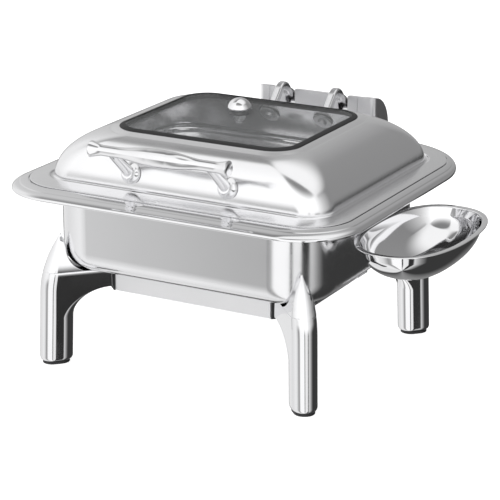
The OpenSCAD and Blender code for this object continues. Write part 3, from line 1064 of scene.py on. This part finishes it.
@dataclass
class Legs:
    """The four cast legs, which curve out of the frame's corners and hug the pan."""

    centre: tuple[float, float] = (162.8, 146.8)
    half: float = 14.8
    seat_z: float = 112.7
    lean: float = 0.037
    knee: float = 58.0
    shoulder: float = 91.0
    saddle_edge: float = 14.4

    @property
    def arm_end(self) -> float:
        """Where the arm meets its spacer, along the arm."""
        return (self.centre[0] - (RAIL_X - RAIL_CUT / 2)) * math.sqrt(2) - 2

    def outer(self, z: float) -> float:
        """The outer edge at a height."""
        return self.lean * z - 19.5 if z < 88 else 24.2 * ((z - 88) / 67.6) ** 1.75 - 16.2

    def inner(self, z: float) -> float:
        """The inner edge below the arm, with its large oval fillet."""
        if z < self.knee:
            return 19.5 + self.lean * z
        up = (z - self.knee) / (self.shoulder - self.knee)
        return 66.6 - 45 * math.sqrt(max(0.0, 1 - up**2))

    def saddle(self, z: float) -> float:
        """The saddle, just clear of the pan's rounded corner."""
        top = self.seat_z + 26
        edge = self.saddle_edge
        if z > 139:
            return edge - 4.4 * ((z - 139) / 16.6) ** 1.5
        return edge if z > top else 41.3 - math.sqrt(max(0.0, 723.6 - (top - z) ** 2))

    def thick(self, z: float) -> float:
        """Half the leg's thickness."""
        return self.half if z < 95 else max(1.4, self.half * (1 - ((z - 95) / 60.8) ** 2.5))

    @staticmethod
    def section(sizes: Sequence[float]) -> list[tuple[float, float, float]]:
        """The outline of the leg at one height.

        Args:
            sizes: Both ends along the arm, half thickness, the radii of the ends, and the height.

        Returns:
            Local points: along the arm, across it, height.
        """
        u0, u1, hv, a, b, bv, z = sizes
        made = []
        for corner in range(4):
            far = corner in (0, 3)
            along, across = (b, bv) if far else (a, hv)
            cu = u1 - along if far else u0 + along
            cv = hv - across if corner < 2 else across - hv
            for k in range(13):
                t = math.pi / 2 * (corner + k / 12)
                made.append((cu + along * math.cos(t), cv + across * math.sin(t), z))
        return made

    def sections(self) -> list[tuple[float, ...]]:
        """The sizes of every section, from the foot to the tip.

        Returns:
            One row a height.
        """
        rows = []
        w, end = self.half, self.arm_end
        for z, cut in ((3, 4), (3.5, 2.6), (4.6, 1.2), (6, 0.4), (8, 0), (24, 0), (42, 0), (58, 0)):
            rows.append(
                (self.outer(z) + cut, self.inner(z) - cut, w - cut, 16 - cut, 16 - cut, w - cut, z)
            )
        for k in range(1, 23):
            z = self.knee + (self.shoulder - self.knee) * math.sin(math.pi / 2 * k / 23)
            up = z - self.knee
            rows.append((self.outer(z), self.inner(z), w, 16, 16 - up * 0.4, w - up * 0.36, z))
        for z in (91, 94, 98, 102, 106, 110.4):
            t = self.thick(z)
            rows.append((self.outer(z), end, t, min(16, t + 1.2), 2, 2, z))
        t = self.thick(111.8)
        rows.append((self.outer(111.6), end - 0.6, t - 0.4, t - 0.4, 2, 2, 111.6))
        rows.append((self.outer(112), end - 1.6, t - 1.2, t - 1.2, 2, 2, 112))
        for k in range(29):
            z = 112.35 + 43.25 * (k / 28) ** 1.3
            t = self.thick(z)
            near = min(t, (self.saddle(min(z, 139)) - self.outer(z)) / 2.4)
            edge = min(4, t)
            rows.append((self.outer(z), self.saddle(z), t, near, edge * 0.45, edge * 0.9, z))
        return rows

    def leg(self, name: str, sx: int, sy: int) -> bpy.types.Object:
        """Makes one leg.

        Args:
            name: The piece's name.
            sx: -1 on the left, 1 on the right.
            sy: -1 in front, 1 at the rear.

        Returns:
            The piece.
        """
        turn = math.sqrt(0.5)
        cx, cy = self.centre
        rings = [
            [
                vec(sx * (cx + turn * (v - u)), sy * (cy - turn * (u + v)), z)
                for u, v, z in self.section(sizes)
            ]
            for sizes in self.sections()
        ]
        return piece(name, skin(rings), 34.0)

    def build(self) -> None:
        """Makes and places the legs."""
        for front, sy in (("front", -1), ("rear", 1)):
            for side, sx in (("left", -1), ("right", 1)):
                made = self.leg(f"cast_leg_{front}_{side}", sx, sy)
                place(made, Body.STAND, [f"leg_{front}_{side}"], Slot.POLISHED, LEG_MIRROR)
        dress(RUBBER, "foot_pads", "leg_spacers")
        dress(FASTENER, "leg_bolts")


@dataclass
class RingFrame:
    """The four folded rails that carry the pan, and their corner plates."""

    x: float = RAIL_X
    y: float = 110.0
    cut: float = RAIL_CUT
    low: float = 86.3
    high: float = 112.7
    sheet: float = 2.5
    lip: float = 14.0

    def outline(self) -> list[tuple[float, float]]:
        """The rail's section: distance inside the outer face, and height.

        Returns:
            The section with rounded folds and edges.
        """
        t, fold = self.sheet, 3.2

        def arc(radius: float) -> list[tuple[float, float]]:
            """The fold at one radius."""
            angles = (math.pi / 2 * k / 6 for k in range(7))
            low = self.high - fold
            return [(fold - radius * math.cos(a), low + radius * math.sin(a)) for a in angles]

        end = [(self.lip - 0.3, self.high), (self.lip, self.high - 0.3),
               (self.lip, self.high - t + 0.3), (self.lip - 0.3, self.high - t)]
        foot = [(t, self.low + 0.3), (t - 0.3, self.low), (0.3, self.low), (0.0, self.low + 0.3)]
        return arc(fold) + end + arc(fold - t)[::-1] + foot

    def rail(self, name: str, turns: int) -> bpy.types.Object:
        """Makes one rail.

        Args:
            name: The piece's name.
            turns: Quarter turns from the front.

        Returns:
            The piece.
        """
        off = self.y if turns % 2 == 0 else self.x
        half = (self.x if turns % 2 == 0 else self.y) - self.cut - 0.5
        rings = []
        for along, shrink in ((-half, 0.25), (-half + 0.25, 0.0), (half - 0.25, 0.0), (half, 0.25)):
            ring = []
            for deep, z in self.outline():
                px, py = along, -(off - deep - shrink * (1 if deep < 1 else 0))
                for _ in range(turns):
                    px, py = -py, px
                ring.append(vec(px, py, z))
            rings.append(ring)
        return piece(name, skin(rings), 28.0)

    def build(self) -> None:
        """Makes and places the rails."""
        sides = (("front_rail", "front_bar"), ("right_rail", "right_bar"),
                 ("rear_rail", "rear_bar"), ("left_rail", "left_bar"))
        for turns, (name, node) in enumerate(sides):
            finish = FRAME_ALONG if turns % 2 == 0 else FRAME_ACROSS
            place(self.rail(name, turns), Body.STAND, [node], Slot.SATIN, finish)
        dress(FRAME_ALONG, "corner_plates")


@dataclass
class Hinge:
    """The hinge: housing ends and arms made anew, the rest dressed."""

    pivot: tuple[float, float] = (218.0, 246.0)
    arm_x: float = 36.5
    wall: tuple[float, float] = (147.6, 250.0)
    tilt: float = 52.0
    round_centre: tuple[float, float] = (200.0, 228.0)
    round_r: float = 40.6
    floor_z: float = 221.8

    def outline(self, x: float, radius: float, front: float) -> Ring:
        """The housing's outline at one place.

        Args:
            x: Place along the shaft.
            radius: Radius of its quarter round.
            front: Y of its front face.

        Returns:
            The ring.
        """
        cy, cz = self.round_centre
        last = math.acos(min(1.0, max(-1.0, (front - cy) / radius)))
        arc = [
            vec(x, cy + radius * math.cos(last * k / 30), cz + radius * math.sin(last * k / 30))
            for k in range(31)
        ]
        return [vec(x, front, self.floor_z), vec(x, cy + radius, self.floor_z), *arc]

    def end_cap(self, sign: int) -> bpy.types.Object:
        """Makes one end of the housing, with a rounded front corner and a soft rim.

        Args:
            sign: -1 on the left, 1 on the right.

        Returns:
            The piece.
        """
        rings = [self.outline(sign * 66.0, self.round_r, 200.0)]
        rings += [self.outline(sign * 73.8, self.round_r, 200.0)]
        for k in range(1, 11):
            x = 74 + 6 * math.sin(math.pi / 2 * k / 10)
            front = 206 - math.sqrt(max(0.0, 36 - (x - 74) ** 2))
            soft = 1.2 - math.sqrt(max(0.0, 1.44 - max(0.0, x - 78.8) ** 2))
            rings.append(self.outline(sign * x, self.round_r - soft, front))
        side = "left" if sign < 0 else "right"
        return piece(f"housing_end_{side}", skin(rings), 30.0)

    def path(self, t: float) -> Vector:
        """A point on an arm's centre line.

        Args:
            t: 0 at the lid, 1 at the shaft.

        Returns:
            The point, with X left at 0.
        """
        a, b = Vector((0, self.wall[0] + 1, 250.5)), Vector((0, 168, 270))
        c, d = Vector((0, 181, 286)), Vector((0, 193, 266))
        e = Vector((0, self.pivot[0] - 5, self.pivot[1] + 6))
        if t < 0.35:
            return a.lerp(b, t / 0.35)
        if t < 0.7:
            u = (t - 0.35) / 0.35
            return b * (1 - u) ** 2 + c * (2 * u * (1 - u)) + d * u**2
        return d.lerp(e, (t - 0.7) / 0.3)

    def arm(self, sign: int) -> bpy.types.Object:
        """Makes one arm: a rounded bar, its eye on the shaft and its disc on the lid.

        Args:
            sign: -1 on the left, 1 on the right.

        Returns:
            The piece.
        """
        x, count = sign * self.arm_x, 48
        half_wide, half_thick, soft = 5.0, 4.4, 2.6
        points = [self.path(k / count) for k in range(count + 1)]
        rings = []
        for k, point in enumerate(points):
            way = (points[min(count, k + 1)] - points[max(0, k - 1)]).normalized()
            up = Vector((0, -way.z, way.y))
            ring = []
            for corner in range(4):
                for j in range(7):
                    a = math.pi / 2 * (corner + j / 6)
                    side, face = (1 if corner in (0, 3) else -1), (1 if corner < 2 else -1)
                    cx = (half_wide - soft) * side + soft * math.cos(a)
                    cn = (half_thick - soft) * face + soft * math.sin(a)
                    ring.append(vec(*(point + Vector((x + cx, 0, 0)) + up * cn)))
            rings.append(ring)
        mesh = skin(rings)
        eye = [
            (7.05, -4.8), (7.3, -5.0), (9.9, -5.0), (10.5, -4.4), (10.5, 4.4), (9.9, 5.0), (7.3, 5.0),
            (7.05, 4.8),
        ]
        spin(eye, (x, *self.pivot), (1, 0, 0), wrap=True, into=mesh)
        a = math.radians(self.tilt)
        out = (0.0, math.sin(a), math.cos(a))
        disc = [(9.0, 0.8), (9.0, 4.0), (8.7, 4.6), (8.0, 4.8)]
        spin(disc, (x, *self.wall), out, into=mesh)
        side = "left" if sign < 0 else "right"
        return piece(f"lid_arm_{side}", mesh, 34.0)

    def build(self) -> None:
        """Makes and places the hinge's pieces."""
        for sign, side in ((-1, "left"), (1, "right")):
            cap = self.end_cap(sign)
            place(cap, Body.PAN, [f"hinge_end_cap_{side}"], Slot.SATIN, HINGE_SATIN)
            place(self.arm(sign), Body.LID, [f"hinge_arm_{side}"], Slot.SATIN, ARM_SATIN)
        dress(HINGE_SATIN, "hinge_bracket", "hinge_cover", "hinge_block_left", "hinge_block_right")
        dress(FASTENER, "bracket_screws", "hinge_shaft", "arm_screws", "arm_washers")
        dress(SPRING, "hinge_springs")
        dress(BRONZE, "hinge_bushes")


@dataclass
class SpoonBowl:
    """The boat-shaped spoon bowl at the right side, with its flat rim."""

    x: float = 243.0
    y: float = -18.0
    z: float = 186.0
    half_x: float = 61.0
    half_y: float = 106.0
    deep: float = 48.0
    power: float = 0.85

    def oval(self, half_x: float, half_y: float, z: float, count: int = 128) -> Ring:
        """A boat-shaped ring.

        Args:
            half_x: Half its width.
            half_y: Half its length.
            z: Height above the rim.
            count: Points round it.

        Returns:
            The ring.
        """
        made = []
        for k in range(count):
            a = 2 * math.pi * k / count
            c, s = math.cos(a), math.sin(a)
            px = self.x + half_x * math.copysign(abs(c) ** self.power, c)
            py = self.y + half_y * math.copysign(abs(s) ** self.power, s)
            made.append(vec(px, py, self.z + z))
        return made

    def build(self) -> None:
        """Makes and places the bowl."""
        angles = [math.radians(3 + 75 * k / 22) for k in range(23)]
        bx, by = self.half_x, self.half_y

        def shell(cut: float, deep: float) -> list[Ring]:
            """Rings of one skin of the bowl."""
            return [
                self.oval((bx - cut) * math.sin(a), (by - cut) * math.sin(a) ** 0.9, -deep * math.cos(a))
                for a in angles
            ]

        rings = shell(6.0, self.deep)
        rings += [
            self.oval(bx - 6, by - 6, -1.6), self.oval(bx - 0.8, by - 0.8, -1.5),
            self.oval(bx - 0.2, by - 0.2, -1.1), self.oval(bx, by, -0.5),
            self.oval(bx - 0.2, by - 0.2, 0.0), self.oval(bx - 0.8, by - 0.8, 0.25),
            self.oval(bx - 5.4, by - 5.4, 0.1), self.oval(bx - 6.6, by - 6.6, -0.4),
            self.oval(bx - 7.3, by - 7.5, -1.4),
        ]
        rings += shell(7.6, self.deep - 1.4)[::-1]
        made = piece("spoon_bowl_shell", skin(rings), 34.0)
        place(made, Body.STAND, ["spoon_bowl"], Slot.POLISHED, MIRROR)
        dress(FRAME_ACROSS, "bowl_bracket")
        dress(FASTENER, "bowl_screws")


# ---- studio ----


@dataclass
class Studio:
    """A pale floor, a soft bright room and the camera, whose places are in metres."""

    camera_at: Point = (1.145, -2.0695, 0.8928)
    camera_to: Point = (0.0164, -0.0012, 0.1227)
    lens: float = 152.0
    low_room: tuple[tuple[float, float], ...] = (
        (0.00, 0.85), (0.110, 1.00), (0.150, 0.80), (0.180, 0.36), (0.205, 0.45), (0.222, 1.15),
        (0.322, 1.15), (0.326, 0.02), (0.336, 0.02), (0.341, 1.0), (0.392, 0.95), (0.398, 0.03),
        (0.440, 0.04), (0.452, 0.75), (0.50, 0.30), (0.54, 0.045), (0.72, 0.045), (0.82, 0.30),
        (0.88, 0.04), (0.91, 0.90), (1.00, 0.85),
    )
    high_room: tuple[tuple[float, float], ...] = (
        (0.00, 0.95), (0.20, 1.22), (0.42, 1.22), (0.50, 0.70), (0.60, 0.27), (0.74, 0.30),
        (0.84, 0.55), (0.93, 0.95), (1.00, 0.95),
    )
    panel: float = 1.05
    gap: float = 0.25
    flattest: float = 0.2
    floor_half: float = 6.0
    floor_z: float = -0.0005

    def room(self) -> None:
        """Lights the scene with a soft room that is bright in front and dim behind on the right."""
        world = bpy.data.worlds.new("studio")
        bpy.context.scene.world = world
        world.use_nodes = True
        graph = Graph(world.node_tree)
        way = graph.node("ShaderNodeTexCoord").out("Generated")
        parts = graph.node("ShaderNodeSeparateXYZ", {}, {"Vector": way})
        x, y, z = (parts.out(k) for k in range(3))
        turn = y.math("ARCTAN2", y, x) / (2 * math.pi) + 0.5
        low = graph.node("ShaderNodeValToRGB", {"stops": self.low_room}, {"Fac": turn}).out()
        high = graph.node("ShaderNodeValToRGB", {"stops": self.high_room}, {"Fac": turn}).out()
        sides = graph.mix(z.step(-0.16, 0.03), low, high)
        steep = z.math("MAXIMUM", z, self.flattest)
        wave = (x / steep * 2.6 + 0.9).sine() * (y / steep * 2.1 + 0.4).sine()
        panel, gap = ((v, v, v, 1.0) for v in (self.panel, self.gap))
        ceiling = graph.mix(wave.step(-0.12, 0.02), gap, panel)
        room = graph.mix(z.step(0.58, 0.92), sides, ceiling)
        seen = graph.node("ShaderNodeLightPath").out("Is Camera Ray")
        colour = graph.mix(seen, room, (1.0, 1.0, 1.0, 1.0))
        light = graph.node("ShaderNodeBackground", {}, {"Color": colour, "Strength": 1.0}).out()
        graph.node("ShaderNodeOutputWorld", {}, {"Surface": light})

    def floor(self) -> None:
        """Lays a wide pale floor."""
        mesh, half = bmesh.new(), self.floor_half
        signs = ((-1, -1), (1, -1), (1, 1), (-1, 1))
        mesh.faces.new([mesh.verts.new((sx * half, sy * half, self.floor_z)) for sx, sy in signs])
        made = piece("studio_floor", mesh)
        made.data.materials.append(FloorFinish().build())
        made.visible_glossy = False

    def camera(self) -> None:
        """Makes the camera."""
        data = bpy.data.cameras.new("camera")
        data.lens = self.lens
        data.sensor_width = 36.0
        made = bpy.data.objects.new("camera", data)
        bpy.context.scene.collection.objects.link(made)
        made.location = Vector(self.camera_at) - MID * MM
        look = Vector(self.camera_to) - Vector(self.camera_at)
        made.rotation_euler = look.to_track_quat("-Z", "Y").to_euler()
        bpy.context.scene.camera = made

    def build(self) -> None:
        """Builds the whole studio."""
        bpy.context.scene.view_settings.view_transform = "Standard"
        self.camera()
        self.room()
        self.floor()


def main() -> None:
    """Builds the studio and the chafer."""
    logging.basicConfig(level=logging.INFO, format="%(name)s: %(message)s")
    Studio().build()
    makers: tuple[Callable[[], None], ...] = (
        Pans().build, Lid().build, Handle().build, Legs().build, RingFrame().build,
        Hinge().build, SpoonBowl().build,
    )
    for make in makers:
        make()


if __name__ == "__main__":
    main()
